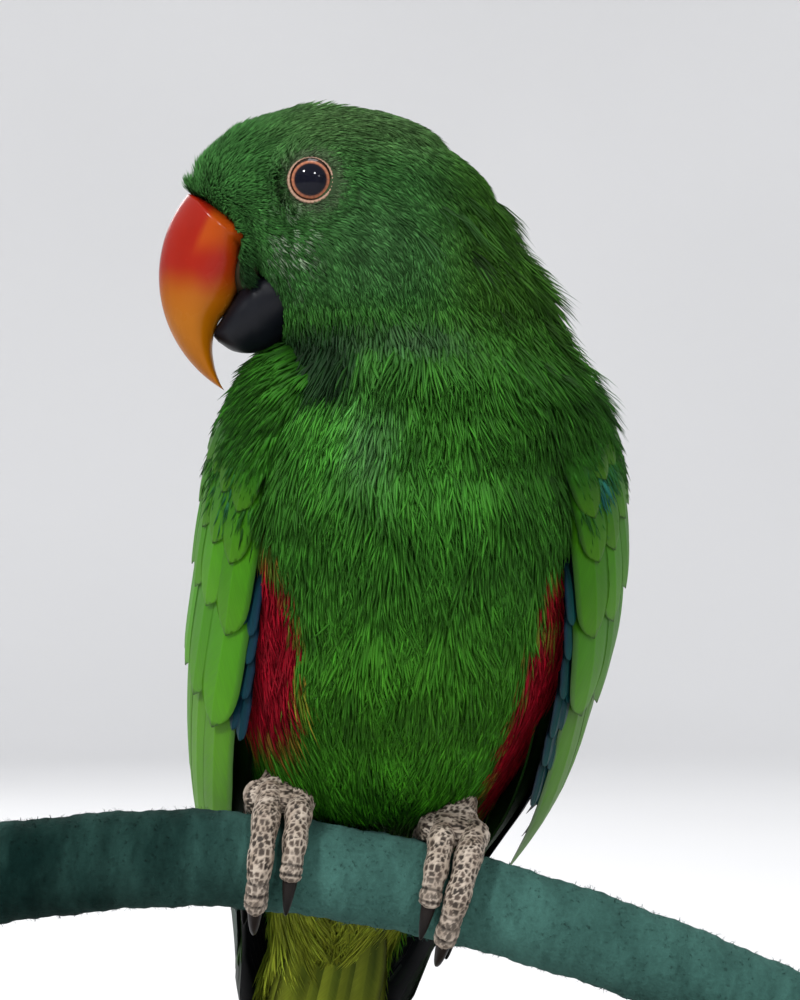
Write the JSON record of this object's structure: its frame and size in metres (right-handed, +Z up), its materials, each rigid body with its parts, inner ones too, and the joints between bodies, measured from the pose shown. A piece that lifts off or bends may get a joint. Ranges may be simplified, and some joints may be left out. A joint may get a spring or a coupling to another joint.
{
  "type": "eclectus parrot",
  "caption": "Life-size still model of a male eclectus parrot, green with an orange bill, gripping a cloth-wrapped perch that a plain stand holds up.",
  "frame": {"origin": "middle of the underside of the stand's base", "axes": "+Z up, -Y towards the camera and the bird's breast, -X the way its bill points"},
  "size_m": [0.222, 0.176, 0.3306],
  "materials": {
    "green_plumage": "soft green body plumage, matt with a silky edge",
    "wing_green": "smooth green vanes, satin",
    "tail_dark": "dark vanes, satin",
    "bill_orange": "glossy horn, coral red fading to yellow at the tip",
    "bill_black": "glossy black horn",
    "eye": "wet, very glossy",
    "toe_scale": "dry grey scaly skin",
    "claw": "dark grey horn, half gloss",
    "perch_cloth": "dark teal fleece, matt",
    "stand_wood": "dark oiled wood, satin",
    "stand_metal": "satin steel rod"
  },
  "bodies": {
    "root": {"bill_lower": "bill_black", "bill_upper": "bill_orange", "claw_left_long_back": "claw", "claw_left_long_front": "claw", "claw_left_short_back": "claw", "claw_left_short_front": "claw", "claw_right_long_back": "claw", "claw_right_long_front": "claw", "claw_right_short_back": "claw", "claw_right_short_front": "claw", "eye_left": "eye", "eye_right": "eye", "head": "green_plumage", "leg_left": "toe_scale", "leg_right": "toe_scale", "neck": "green_plumage", "perch": "perch_cloth", "stand_base": "stand_wood", "stand_rod_left": "stand_metal", "stand_rod_right": "stand_metal", "tail": "tail_dark", "torso": "green_plumage", "wing_left": "wing_green", "wing_right": "wing_green"}
  },
  "joints": []
}
